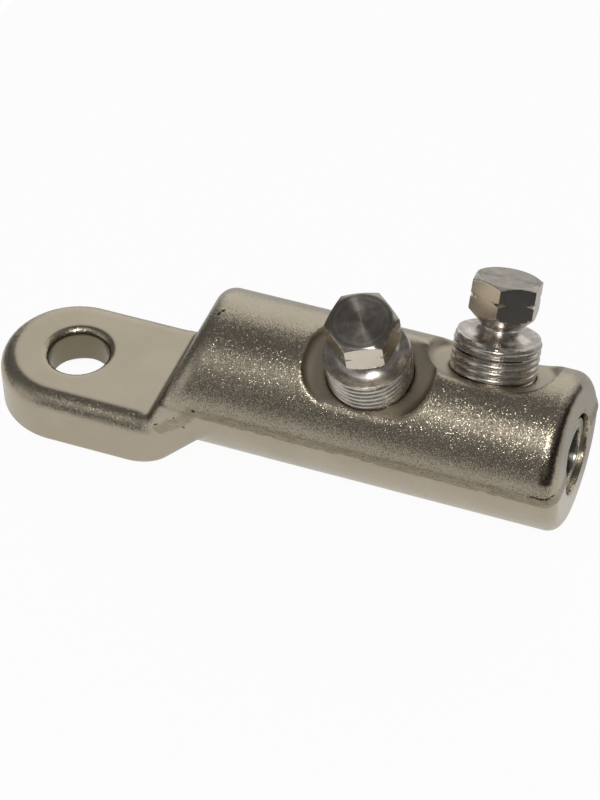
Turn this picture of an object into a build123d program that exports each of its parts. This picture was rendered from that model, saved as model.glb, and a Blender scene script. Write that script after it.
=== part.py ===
from build123d import *
import os
from math import cos, pi, radians, tan

os.makedirs("parts", exist_ok=True)

# Mechanical cable lug with two shear-head bolts, in millimetres.
# Origin: centre of the stud hole, half way through the palm. +X runs to the barrel's mouth, +Z is up.

# Palm, the flat tongue that a stud clamps down
palm_width = 32.0
palm_thickness = 12.6
palm_tip_reach = 17.0
palm_top_edge_radius = 3.9
palm_bottom_edge_chamfer = 0.8
stud_hole_diameter = 13.0
stud_rim_chamfer = 0.9
stud_countersink_depth = 4.2

# Neck, where the palm's square sides run up into the round barrel
shoulder_reach = 21.8
shoulder_run = 10.2
shoulder_crown_radius = 4.5
neck_corner_radius = 3.0
heel_reach = 22.5
heel_slope = 46.0
heel_radius = 13.0

# Barrel, the thick tube that takes the cable
barrel_diameter = 33.0
barrel_drop = 2.7
mouth_reach = 110.4
mouth_draft = 6.0
mouth_edge_radius = 3.0
bore_diameter = 16.8
bore_depth = 60.0
drill_point_angle = 118.0

# Trimmed flash, the raised band left at the forging's parting plane
flash_width = 2.8
flash_rise = 0.35
flash_lift = 1.0
flash_start_reach = 26.0
flash_start_rise = 10.3
flash_level_reach = 33.0

# Shear bolts, both turned to one drawing; heights are measured from the collar's edge
thread_diameter = 17.8
thread_length = 11.9
thread_end_chamfer = 0.8
thread_clearance = 0.06
thread_showing = 7.9
collar_diameter = 17.0
collar_chamfer_height = 0.5
flare_height = 1.7
flare_dish_diameter = 12.3
flare_dish_height = 0.25
waist_diameter = 8.6
waist_height = 0.4
hex_across_flats = 13.0
hex_flat_height = 7.6
hex_skirt_angle = 45.0
hex_crown_diameter = 12.5
hex_crown_angle = 30.0
snap_groove_depth = 0.85
snap_groove_below_top = 3.7
snap_groove_width = 1.7
dog_diameter = 9.4
dog_length = 4.0
dog_chamfer = 0.8

# Where the bolts go: they lean to opposite sides, and each hexagon stands at its own turn
mouth_bolt_setback = 20.2
bolt_spacing = 22.9
palm_bolt_lean = -17.0
mouth_bolt_lean = 24.3
palm_bolt_turn = 21.4
mouth_bolt_turn = 33.5
spot_face_diameter = 27.0
spot_face_depth = 3.2
tapped_hole_floor = 3.5

# Centring insert, a ring at the mouth with a long half-round trough behind it
insert_diameter = 15.6
insert_bore_diameter = 10.8
insert_recess = 1.2
insert_ring_length = 8.0
insert_seat_gap = 0.1
insert_end_gap = 3.0
insert_edge_chamfer = 0.3
trough_groove_pitch = 12.0
trough_groove_depth = 0.8

# Values that follow from the sizes above
palm_half = palm_width / 2
palm_top = palm_thickness / 2
palm_bottom = -palm_top
tip_centre = palm_half - palm_tip_reach
barrel_radius = barrel_diameter / 2
bore_radius = bore_diameter / 2
thread_radius = thread_diameter / 2
stud_radius = stud_hole_diameter / 2
insert_radius = insert_diameter / 2
axis_height = palm_bottom + barrel_drop + barrel_radius
barrel_top = axis_height + barrel_radius
bore_end_reach = mouth_reach - bore_depth
mouth_bolt_reach = mouth_reach - mouth_bolt_setback
palm_bolt_reach = mouth_bolt_reach - bolt_spacing
bolt_places = {
    "palm_side_shear_bolt": (palm_bolt_reach, palm_bolt_lean, palm_bolt_turn),
    "mouth_side_shear_bolt": (mouth_bolt_reach, mouth_bolt_lean, mouth_bolt_turn),
}
spot_face_height = barrel_radius - spot_face_depth
collar_height = spot_face_height + thread_showing
insert_height = axis_height - (bore_radius - insert_radius - insert_seat_gap)
insert_front_reach = mouth_reach - insert_recess
insert_back_reach = bore_end_reach + insert_end_gap
insert_ring_back_reach = insert_front_reach - insert_ring_length
hexagon_sides = 6

# How far cutters run past what they cut, a length that spans the whole lug, and how near counts as on
overcut = 1.0
oversize = 2 * barrel_diameter
nearly = 0.01

# The side view, in which X is the reach and Y the height
side_view = Plane(origin=(0, 0, 0), x_dir=(1, 0, 0), z_dir=(0, -1, 0))


def side_slab(outline):
    """A solid with this outline in the side view, wider than the lug."""
    return extrude(side_view * outline, amount=oversize, both=True)


def along_barrel(reach, height):
    """A plane square to the barrel at this reach, centred on this height."""
    return Plane(origin=(reach, 0, height), x_dir=(0, 1, 0), z_dir=(1, 0, 0))


def rod(radius, start, end, height=axis_height):
    """A round rod along the barrel from one reach to another."""
    bar = Cylinder(radius, end - start, align=(Align.CENTER, Align.CENTER, Align.MIN))
    return along_barrel(start, height) * bar


def turned(*outline):
    """A solid turned about Z from an outline of radius and height."""
    return revolve(make_face(Plane.XZ * Polyline(*outline, close=True)), Axis.Z)


def bolt_axis(reach, lean):
    """The place where a bolt's axis meets the barrel's, with Z along the bolt."""
    return Pos(reach, 0, axis_height) * Rot(-lean, 0, 0)


def shoulder_at(height):
    """Reach of the leaning shoulder face at a height above the palm's top."""
    return shoulder_reach + shoulder_run * (height - palm_top) / (barrel_top - palm_top)


def make_tongue():
    """Palm with its square-sided neck: full round tip, rolled top edge and a heel that ramps up."""
    neck_height = axis_height - palm_bottom
    heel_top = heel_reach + neck_height / tan(radians(heel_slope))
    outline = make_face(
        Polyline(
            (-oversize, palm_bottom),
            (heel_reach, palm_bottom),
            (heel_top, axis_height),
            (shoulder_at(axis_height), axis_height),
            (shoulder_reach, palm_top),
            (-oversize, palm_top),
            close=True,
        )
    )
    heel_corner = outline.vertices().sort_by_distance((heel_reach, palm_bottom, 0))[0]
    outline = fillet(heel_corner, heel_radius)
    straight = heel_top - tip_centre
    plan = Pos(tip_centre, 0) * Circle(palm_half)
    plan += Pos(tip_centre + straight / 2, 0) * Rectangle(straight, palm_width)
    tongue = Pos(0, 0, palm_bottom) * extrude(plan, amount=neck_height) & side_slab(outline)

    def on_palm_rim(edge):
        """Whether an edge runs round the palm's flat top, short of the shoulder."""
        return abs(edge.center().Z - palm_top) < nearly and edge.center().X < shoulder_reach - overcut

    tongue = fillet(tongue.edges().filter_by(on_palm_rim), palm_top_edge_radius)

    def on_neck_corner(edge):
        """Whether an edge is an upright corner between the shoulder and a side of the neck."""
        centre = edge.center()
        on_side = abs(abs(centre.Y) - palm_half) < nearly
        return on_side and centre.Z > 0 and shoulder_reach < centre.X < shoulder_at(axis_height)

    tongue = fillet(tongue.edges().filter_by(on_neck_corner), neck_corner_radius)

    def on_underside_rim(edge):
        """Whether an edge runs round the underside, from the tip to the top of the heel's ramp."""
        centre = edge.center()
        rise = centre.Z - palm_bottom
        ramp_rise = (centre.X - heel_reach) * tan(radians(heel_slope))
        ramp = abs(abs(centre.Y) - palm_half) < nearly and abs(ramp_rise - rise) < nearly
        flat = edge.bounding_box().max.Z < palm_bottom + nearly and centre.X < heel_reach - heel_radius
        bend = edge.geom_type == GeomType.CIRCLE and 0 < rise < heel_radius / 4
        return ramp or flat or bend

    return chamfer(tongue.edges().filter_by(on_underside_rim), palm_bottom_edge_chamfer)


def make_barrel():
    """Round barrel with a leaning shoulder and a mouth whose upper half slopes back."""
    past = barrel_radius + overcut
    slope_back = tan(radians(mouth_draft)) * past
    outline = make_face(
        Polyline(
            (shoulder_reach, axis_height - past),
            (shoulder_reach, palm_top),
            (shoulder_at(axis_height + past), axis_height + past),
            (mouth_reach - slope_back, axis_height + past),
            (mouth_reach, axis_height),
            (mouth_reach, axis_height - past),
            close=True,
        )
    )
    barrel = rod(barrel_radius, shoulder_reach - overcut, mouth_reach + overcut) & side_slab(outline)

    def round_outer_edge(edge):
        """Whether an edge is one of the long curves round an end of the barrel."""
        return edge.geom_type in (GeomType.ELLIPSE, GeomType.CIRCLE) and edge.length > barrel_diameter

    middle_reach = (shoulder_reach + mouth_reach) / 2
    ends = barrel.edges().filter_by(round_outer_edge)
    barrel = fillet(ends.filter_by(lambda edge: edge.center().X > middle_reach), mouth_edge_radius)
    ends = barrel.edges().filter_by(round_outer_edge)
    return fillet(ends.filter_by(lambda edge: edge.center().X < middle_reach), shoulder_crown_radius)


def make_flash():
    """Flat band that climbs the neck, follows the barrel's sides and crosses the mouth."""
    edge_reach = mouth_reach + flash_rise
    edge_half = barrel_radius + flash_rise
    plan = make_face(
        Polyline(
            (flash_start_reach, -palm_half + flash_rise),
            (flash_level_reach, -edge_half),
            (edge_reach, -edge_half),
            (edge_reach, edge_half),
            (flash_level_reach, edge_half),
            (flash_start_reach, palm_half - flash_rise),
            close=True,
        )
    )
    mouth_corners = plan.vertices().filter_by(lambda corner: corner.X > edge_reach - nearly)
    plan = fillet(mouth_corners, mouth_edge_radius + flash_rise)
    path = Polyline(
        (flash_start_reach, palm_bottom + flash_start_rise),
        (flash_level_reach, axis_height + flash_lift),
        (mouth_reach + oversize, axis_height + flash_lift),
    )
    ribbon = make_face(offset(path, flash_width / 2, side=Side.BOTH))
    return extrude(plan, amount=barrel_top, both=True) & side_slab(ribbon)


def stud_hole():
    """What the stud hole removes: a straight bore, a countersink below and a broken edge above."""
    above = palm_top + overcut
    below = palm_bottom - overcut
    return turned(
        (0, below),
        (stud_radius + stud_countersink_depth + overcut, below),
        (stud_radius, palm_bottom + stud_countersink_depth),
        (stud_radius, palm_top - stud_rim_chamfer),
        (stud_radius + stud_rim_chamfer + overcut, above),
        (0, above),
    )


def cable_bore():
    """What the cable bore removes, with the cone that the drill's point leaves."""
    point_length = bore_radius / tan(radians(drill_point_angle / 2))
    cone = Cone(0, bore_radius, point_length, align=(Align.CENTER, Align.CENTER, Align.MAX))
    bore = rod(bore_radius, bore_end_reach, mouth_reach + flash_rise + overcut)
    return bore + along_barrel(bore_end_reach, axis_height) * cone


def bolt_seat(reach, lean):
    """What a bolt's seat removes: a spot face cut square to the bolt and its tapped hole."""
    up = (Align.CENTER, Align.CENTER, Align.MIN)
    pocket = Pos(0, 0, spot_face_height) * Cylinder(spot_face_diameter / 2, barrel_radius, align=up)
    tapped_depth = spot_face_height - tapped_hole_floor + overcut
    tapped = Cylinder(thread_radius + thread_clearance, tapped_depth, align=up)
    return bolt_axis(reach, lean) * (pocket + Pos(0, 0, tapped_hole_floor) * tapped)


def make_lug_body():
    """Forged body: palm, neck and barrel in one piece, then drilled, spot-faced and tapped."""
    body = make_tongue() + make_barrel() + make_flash()
    body -= stud_hole()
    body -= cable_bore()
    for reach, lean, _ in bolt_places.values():
        body -= bolt_seat(reach, lean)
    return body


def make_shear_bolt():
    """Turned bolt along Z, measured from the barrel's axis: dog point, shank, flare, waist and hexagon."""
    collar_radius = collar_diameter / 2
    waist_radius = waist_diameter / 2
    shank_foot = collar_height - thread_length
    dog_foot = shank_foot - dog_length
    waist_foot = collar_height + flare_height
    waist_top = waist_foot + waist_height
    hex_inner = hex_across_flats / 2
    hex_corner = hex_inner / cos(pi / hexagon_sides)
    skirt_slope = tan(radians(90 - hex_skirt_angle))
    hex_foot = waist_top + (hex_inner - waist_radius) * skirt_slope
    corner_foot = waist_top + (hex_corner - waist_radius) * skirt_slope
    hex_top = hex_foot + hex_flat_height
    crown_radius = hex_crown_diameter / 2
    corner_top = hex_top - (hex_corner - crown_radius) * tan(radians(hex_crown_angle))
    groove = hex_top - snap_groove_below_top
    shank = turned(
        (0, dog_foot),
        (dog_diameter / 2 - dog_chamfer, dog_foot),
        (dog_diameter / 2, dog_foot + dog_chamfer),
        (dog_diameter / 2, shank_foot),
        (thread_radius - thread_end_chamfer, shank_foot),
        (thread_radius, shank_foot + thread_end_chamfer),
        (thread_radius, collar_height - collar_chamfer_height),
        (collar_radius, collar_height),
        (flare_dish_diameter / 2, collar_height + flare_dish_height),
        (waist_radius, waist_foot),
        (waist_radius, waist_top),
        (0, waist_top),
    )
    envelope = turned(
        (0, waist_top),
        (waist_radius, waist_top),
        (hex_corner, corner_foot),
        (hex_corner, groove - snap_groove_width / 2),
        (hex_corner - snap_groove_depth, groove),
        (hex_corner, groove + snap_groove_width / 2),
        (hex_corner, corner_top),
        (crown_radius, hex_top),
        (0, hex_top),
    )
    hexagon = Pos(0, 0, waist_top) * RegularPolygon(hex_corner, hexagon_sides)
    prism = extrude(hexagon, amount=hex_top - waist_top)
    return shank + (prism & envelope)


def make_centring_insert():
    """Sleeve that lifts a thin cable to the middle: a full ring, then the lower half with V grooves."""
    sleeve = rod(insert_radius, insert_back_reach, insert_front_reach, insert_height)
    sleeve = chamfer(sleeve.edges().filter_by(GeomType.CIRCLE), insert_edge_chamfer)
    hollow_ends = (insert_back_reach - overcut, insert_front_reach + overcut)
    hollow = rod(insert_bore_diameter / 2, *hollow_ends, insert_height)
    sleeve -= hollow
    open_length = insert_ring_back_reach - insert_back_reach
    open_top = Box(open_length + overcut, oversize, oversize, align=(Align.MAX, Align.CENTER, Align.MIN))
    sleeve -= Pos(insert_ring_back_reach, 0, insert_height) * open_top
    groove_count = int(open_length / trough_groove_pitch) - 1
    for number in range(1, groove_count + 1):
        middle = insert_back_reach + number * trough_groove_pitch
        sleeve -= trough_groove(middle)
    return sleeve


def trough_groove(middle):
    """What one V groove removes from the trough's floor at this reach."""
    bore = insert_bore_diameter / 2
    face = make_face(
        Plane.XZ
        * Polyline(
            (bore - overcut, -trough_groove_depth - overcut),
            (bore + trough_groove_depth, 0),
            (bore - overcut, trough_groove_depth + overcut),
            close=True,
        )
    )
    return along_barrel(middle, insert_height) * revolve(face, Axis.Z)


nodes = {"lug_body": make_lug_body(), "centring_insert": make_centring_insert()}
for name, (reach, lean, turn) in bolt_places.items():
    nodes[name] = bolt_axis(reach, lean) * Rot(0, 0, turn) * make_shear_bolt()

for name, solid in nodes.items():
    export_step(solid, f"parts/{name}.step")
    print(name, "volume", round(solid.volume, 1), "valid", solid.is_valid)
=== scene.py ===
"""Looks of a mechanical cable lug with two shear-head bolts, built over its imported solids.

Every piece is meshed from a distance model of the real part, in millimetres in the frame of the solids,
so that forging fillets, threads and sheared flash come out as they are made.
"""

import logging
import math
from abc import ABC, abstractmethod
from collections.abc import Callable
from dataclasses import dataclass, field
from enum import Enum

import bpy
import numpy as np
from mathutils import Matrix, Vector

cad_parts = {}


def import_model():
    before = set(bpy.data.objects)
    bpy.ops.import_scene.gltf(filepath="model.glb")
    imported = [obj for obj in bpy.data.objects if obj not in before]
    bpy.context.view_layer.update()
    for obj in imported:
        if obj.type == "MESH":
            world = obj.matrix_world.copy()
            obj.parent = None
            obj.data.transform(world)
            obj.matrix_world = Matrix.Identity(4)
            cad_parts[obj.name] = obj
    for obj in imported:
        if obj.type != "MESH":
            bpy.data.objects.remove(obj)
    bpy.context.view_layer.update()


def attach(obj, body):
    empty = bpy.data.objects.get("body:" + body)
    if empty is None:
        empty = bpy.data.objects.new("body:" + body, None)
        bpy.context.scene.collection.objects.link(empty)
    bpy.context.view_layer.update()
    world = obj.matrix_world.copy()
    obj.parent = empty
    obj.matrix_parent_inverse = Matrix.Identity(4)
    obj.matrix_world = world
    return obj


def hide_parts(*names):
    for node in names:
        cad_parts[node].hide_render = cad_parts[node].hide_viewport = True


LOG = logging.getLogger("lug")
MILLIMETRE = 0.001
# Millimetres beyond anything on the lug
FAR = 1e6

Array = np.ndarray
Colour = tuple[float, float, float, float]
Place = tuple[float, float, float]
Pit = tuple[float, float, float, float]


class Slot(Enum):
    """Material slots of the record. Nothing here reads them."""

    FORGING = "tinned_forging"
    BOLT = "turned_bolt"
    INSERT = "insert_metal"


def linear_colour(code: str) -> Colour:
    """Turn an sRGB hex colour into the linear colour that shaders take.

    Args:
        code: Six hex digits, with or without a leading hash.

    Returns:
        Linear red, green and blue with full alpha.
    """
    digits = code.lstrip("#")
    channels = (int(digits[i : i + 2], 16) / 255 for i in (0, 2, 4))
    linear = [c / 12.92 if c <= 0.04045 else ((c + 0.055) / 1.055) ** 2.4 for c in channels]
    return (*linear, 1.0)


def add_node(
    tree: bpy.types.NodeTree,
    kind: str,
    settings: dict[str, object] | None = None,
    values: dict[str | int, object] | None = None,
    links: dict[str | int, bpy.types.NodeSocket] | None = None,
) -> bpy.types.Node:
    """Add a node with its settings, input values and incoming links.

    Args:
        tree: Node tree that gets the node.
        kind: Node type name.
        settings: Node properties by name.
        values: Input values by socket name or number.
        links: Sockets to link from, by input name or number.

    Returns:
        The new node.
    """
    node = tree.nodes.new(kind)
    for name, value in (settings or {}).items():
        setattr(node, name, value)
    for socket, value in (values or {}).items():
        node.inputs[socket].default_value = value
    for socket, source in (links or {}).items():
        tree.links.new(source, node.inputs[socket])
    return node


def rolled_corner(first: Array, second: Array, radius: Array | float, cosine: Array | float = 0.0) -> Array:
    """Distance to what two faces enclose, with the corner between them rolled over.

    Args:
        first: Distance to one face, negative inside.
        second: Distance to the other face.
        radius: Radius of the rolled corner.
        cosine: Cosine of the angle between the faces' normals.

    Returns:
        Distance to the rounded intersection.
    """
    a = first + radius
    b = second + radius
    spread = 1.0 - np.square(cosine)
    arc = np.sqrt(np.maximum((a * a + b * b - 2.0 * a * b * cosine) / spread, 0.0)) - radius
    rolled = (a > b * cosine) & (b > a * cosine)
    return np.where(rolled, arc, np.maximum(first, second))


def filled_corner(first: Array, second: Array, radius: Array | float) -> Array:
    """Distance to two forms grown together with a hollow fillet where they meet.

    Args:
        first: Distance to one form, negative inside.
        second: Distance to the other form.
        radius: Radius of the fillet.

    Returns:
        Distance to the joined form.
    """
    hollow = np.hypot(np.maximum(radius - first, 0.0), np.maximum(radius - second, 0.0))
    return np.maximum(radius, np.minimum(first, second)) - hollow


def ripple(points: Array, length: float, seed: int) -> Array:
    """Gentle unevenness that repeats nowhere nearby, from sines in seeded directions.

    Args:
        points: Positions in millimetres.
        length: Wavelength in millimetres.
        seed: Number that fixes the directions.

    Returns:
        Values of about -1 to 1, one for each point.
    """
    count = 5
    shortest = 0.7
    longest = 1.4
    draw = np.random.default_rng(seed)
    total = np.zeros(len(points))
    for _ in range(count):
        direction = draw.normal(size=3)
        direction /= np.linalg.norm(direction)
        wave = 2.0 * math.pi / (length * draw.uniform(shortest, longest))
        total += np.sin(points @ direction * wave + draw.uniform(0.0, 2.0 * math.pi))
    return total / count


@dataclass(frozen=True)
class SkinMesher:
    """Meshes the zero surface of a distance model with quads, keeping its sharp edges. Lengths in mm."""

    cell: float
    crease_angle: float = 34.0
    edge_steps: int = 3
    edge_margin: float = 0.02
    pull: float = 0.04
    probe: float = 0.02
    least_steepness: float = 0.05
    settling: float = 0.3

    def mesh(self, name: str, distance: Callable[[Array], Array], low: Array, high: Array) -> bpy.types.Mesh:
        """Mesh a form whose surface lies where its distance is zero.

        Args:
            name: Name of the mesh.
            distance: Distance in millimetres for rows of points, negative inside.
            low: Lowest corner of the space to mesh.
            high: Highest corner of that space.

        Returns:
            A mesh in metres with smooth faces and marked creases.
        """
        low = np.asarray(low, float)
        counts = np.ceil((np.asarray(high) - low) / self.cell).astype(int) + 1
        rows = [low[a] + self.cell * np.arange(counts[a]) for a in range(3)]
        grid = np.stack(np.meshgrid(*rows, indexing="ij"), axis=-1).reshape(-1, 3)
        values = distance(grid).reshape(counts)
        places, normals, cells, quads = self._crossings(distance, values, low)
        corners, owner = np.unique(cells, return_inverse=True)
        owner = owner.reshape(cells.shape)
        points = self._corner_points(places, normals, owner, len(corners))
        points = self._settle(distance, points)
        return self._build(name, points, owner.reshape(-1, 4)[:, [0, 1, 3, 2]], quads)

    def _crossings(
        self, distance: Callable[[Array], Array], values: Array, low: Array
    ) -> tuple[Array, Array, Array, Array]:
        """Find where grid edges pass through the surface.

        Args:
            distance: The distance model.
            values: Its values on the grid.
            low: Lowest corner of the grid.

        Returns:
            Crossing points, surface normals there, the four cells round each edge and its direction's sign.
        """
        inside = values < 0.0
        size = np.array(values.shape)
        strides = np.array([size[1] * size[2], size[2], 1])
        places, cells, signs = [], [], []
        for axis in range(3):
            step = np.eye(3, dtype=int)[axis]
            first = tuple(slice(1, n - 1) if a != axis else slice(0, n - 1) for a, n in enumerate(size))
            second = tuple(slice(1, n - 1) if a != axis else slice(1, n) for a, n in enumerate(size))
            crossed = np.argwhere(inside[first] != inside[second])
            crossed = crossed + np.where(step == 1, 0, 1)
            start = low + crossed * self.cell
            at_start = values[tuple(crossed.T)]
            at_end = values[tuple((crossed + step).T)]
            places.append(self._refine(distance, start, step * self.cell, at_start, at_end))
            side, over = (np.eye(3, dtype=int)[(axis + k) % 3] for k in (1, 2))
            ring = [crossed, crossed - side, crossed - over, crossed - side - over]
            cells.append(np.stack([cell @ strides for cell in ring], axis=1))
            signs.append(at_start < 0.0)
        places = np.concatenate(places)
        normals = self._slope(distance, places)
        normals /= np.linalg.norm(normals, axis=1, keepdims=True)
        return places, normals, np.concatenate(cells), np.concatenate(signs)

    def _refine(
        self, distance: Callable[[Array], Array], start: Array, step: Array, at_start: Array, at_end: Array
    ) -> Array:
        """Close in on the crossing of each grid edge.

        Args:
            distance: The distance model.
            start: Edge starts.
            step: The edges' common length and direction.
            at_start: Distance at each start.
            at_end: Distance at each end.

        Returns:
            Points on the surface.
        """
        near = np.zeros(len(start))
        far = np.ones(len(start))
        middle = at_start / (at_start - at_end)
        for _ in range(self.edge_steps):
            value = distance(start + middle[:, None] * step)
            same = (value < 0.0) == (at_start < 0.0)
            near = np.where(same, middle, near)
            at_start = np.where(same, value, at_start)
            far = np.where(same, far, middle)
            at_end = np.where(same, at_end, value)
            share = at_start / np.where(at_start == at_end, 1.0, at_start - at_end)
            middle = near + (far - near) * np.clip(share, self.edge_margin, 1.0 - self.edge_margin)
        return start + middle[:, None] * step

    def _slope(self, distance: Callable[[Array], Array], points: Array) -> Array:
        """Gradient of the distance by central differences.

        Args:
            distance: The distance model.
            points: Where to take it.

        Returns:
            One vector for each point.
        """
        reach = self.cell * self.probe
        ends = [distance(points + reach * axis) - distance(points - reach * axis) for axis in np.eye(3)]
        return np.stack(ends, axis=1) / (2.0 * reach)

    def _corner_points(self, places: Array, normals: Array, owner: Array, count: int) -> Array:
        """Put each cell's point where the planes through its crossings meet.

        Args:
            places: Crossing points.
            normals: Normals at the crossings.
            owner: The four cells of each crossing.
            count: How many cells there are.

        Returns:
            One point for each cell.
        """
        cell_ids = owner.T.reshape(-1)
        spots = np.tile(places, (4, 1))
        facing = np.tile(normals, (4, 1))
        weight = np.bincount(cell_ids, minlength=count).astype(float)
        sums = [np.bincount(cell_ids, spots[:, a], count) for a in range(3)]
        middle = np.stack(sums, axis=1) / weight[:, None]
        offset = np.sum(facing * (spots - middle[cell_ids]), axis=1)
        matrix = np.empty((count, 3, 3))
        side = np.empty((count, 3))
        for a in range(3):
            side[:, a] = np.bincount(cell_ids, facing[:, a] * offset, count)
            for b in range(3):
                matrix[:, a, b] = np.bincount(cell_ids, facing[:, a] * facing[:, b], count)
        matrix += np.eye(3) * (self.pull * weight)[:, None, None]
        move = np.linalg.solve(matrix, side[:, :, None])[:, :, 0]
        return middle + np.clip(move, -self.cell, self.cell)

    def _settle(self, distance: Callable[[Array], Array], points: Array) -> Array:
        """Move points the last little way onto the surface.

        Args:
            distance: The distance model.
            points: Points near the surface.

        Returns:
            The settled points.
        """
        slope = self._slope(distance, points)
        steep = np.maximum(np.sum(slope * slope, axis=1), self.least_steepness)
        step = -(distance(points) / steep)[:, None] * slope
        furthest = self.settling * self.cell
        return points + np.clip(step, -furthest, furthest)

    def _build(self, name: str, points: Array, quads: Array, forward: Array) -> bpy.types.Mesh:
        """Make the Blender mesh.

        Args:
            name: Name of the mesh.
            points: Corner points in millimetres.
            quads: Four corners for each face.
            forward: Whether each face keeps its order of corners.

        Returns:
            The finished mesh in metres.
        """
        quads = np.where(forward[:, None], quads, quads[:, ::-1])
        mesh = bpy.data.meshes.new(name)
        mesh.vertices.add(len(points))
        mesh.vertices.foreach_set("co", (points * MILLIMETRE).ravel())
        mesh.loops.add(quads.size)
        mesh.loops.foreach_set("vertex_index", quads.ravel().astype(np.int32))
        mesh.polygons.add(len(quads))
        mesh.polygons.foreach_set("loop_start", np.arange(0, quads.size, 4, dtype=np.int32))
        mesh.update(calc_edges=True)
        mesh.validate()
        mesh.polygons.foreach_set("use_smooth", np.ones(len(mesh.polygons), dtype=bool))
        mesh.set_sharp_from_angle(angle=math.radians(self.crease_angle))
        return mesh


def scored_line(path: tuple[Place, ...], steps: int, radius: float) -> tuple[Pit, ...]:
    """A row of pits so close that they read as one scored line.

    Args:
        path: Corners of the line in millimetres.
        steps: Pits to each leg of the path.
        radius: Radius of a pit.

    Returns:
        Place and radius of each pit.
    """
    pits = []
    for start, end in zip(path, path[1:]):
        for share in np.linspace(0.0, 1.0, steps, endpoint=False):
            pits.append((*(a + (b - a) * float(share) for a, b in zip(start, end)), radius))
    return tuple(pits)


# Pits in the forged skin at the crown, the neck and the mouth: place and radius in millimetres
SKIN_PITS: tuple[Pit, ...] = (
    (33.8, -1.9, 29.2, 0.5),
    (34.5, -0.9, 29.3, 0.55),
    (33.4, -16.5, 14.6, 0.45),
    (31.0, -16.3, 9.0, 0.4),
    (29.0, -16.6, 11.2, 0.3),
    (110.3, -3.9, 4.8, 0.35),
    (110.4, -4.9, 2.9, 0.4),
)
# The crack that follows the flash and turns over the corner of the mouth
CORNER_CRACK: tuple[Place, ...] = (
    (105.2, -16.4, 15.1),
    (107.1, -16.4, 15.0),
    (108.4, -16.1, 15.1),
    (109.5, -15.0, 15.6),
    (110.2, -12.6, 15.4),
)


def mark_share(mesh: bpy.types.Mesh, name: str, share: Array) -> None:
    """Store how much of a surface kind each mesh point has.

    Args:
        mesh: Mesh that gets the mark.
        name: Name that materials read.
        share: Values of 0 to 1, one for each point.
    """
    mark = mesh.attributes.new(name, "FLOAT", "POINT")
    mark.data.foreach_set("value", np.clip(share, 0.0, 1.0).astype(np.float32))


def faded(away: Array, near: float, fade: float) -> Array:
    """Share that is 1 as far as near from a surface and falls to 0 over the length of the fade.

    Args:
        away: Distances from the surface in millimetres.
        near: Distance up to which the share is whole.
        fade: Length over which it is lost.

    Returns:
        Shares, over 1 and under 0 where they are to be clipped.
    """
    return 1.0 - (away - near) / fade


def mesh_points(mesh: bpy.types.Mesh) -> Array:
    """Positions of a mesh's points in millimetres."""
    flat = np.empty(len(mesh.vertices) * 3, dtype=np.float32)
    mesh.vertices.foreach_get("co", flat)
    return flat.reshape(-1, 3).astype(float) / MILLIMETRE


def mark_turning(mesh: bpy.types.Mesh, place: Matrix) -> None:
    """Store where each mesh point lies on its turned bar and which way the tool ran there.

    Args:
        mesh: Mesh that gets the marks "bar_place" and "bar_way".
        place: Placement in millimetres of a bar that is drawn along Z.
    """
    back = np.array(place.inverted())
    local = mesh_points(mesh) @ back[:3, :3].T + back[:3, 3]
    # A point on the axis has no way of its own, and the small number gives it one
    way = np.stack([-local[:, 1], local[:, 0], np.zeros(len(local))], axis=1) + 1e-6
    way = (way / np.linalg.norm(way, axis=1, keepdims=True)) @ back[:3, :3]
    for name, rows in (("bar_place", local * MILLIMETRE), ("bar_way", way)):
        mark = mesh.attributes.new(name, "FLOAT_VECTOR", "POINT")
        mark.data.foreach_set("vector", rows.astype(np.float32).ravel())


class Finish(ABC):
    """A surface as it was made, which can dress a piece."""

    @abstractmethod
    def material(self) -> bpy.types.Material:
        """Make the Blender material of this finish."""

    @staticmethod
    def empty(name: str) -> tuple[bpy.types.Material, bpy.types.NodeTree]:
        """Make a material that has no nodes yet.

        Args:
            name: Name of the material.

        Returns:
            The material and its node tree.
        """
        made = bpy.data.materials.new(name)
        made.use_nodes = True
        made.node_tree.nodes.clear()
        return made, made.node_tree


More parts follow.
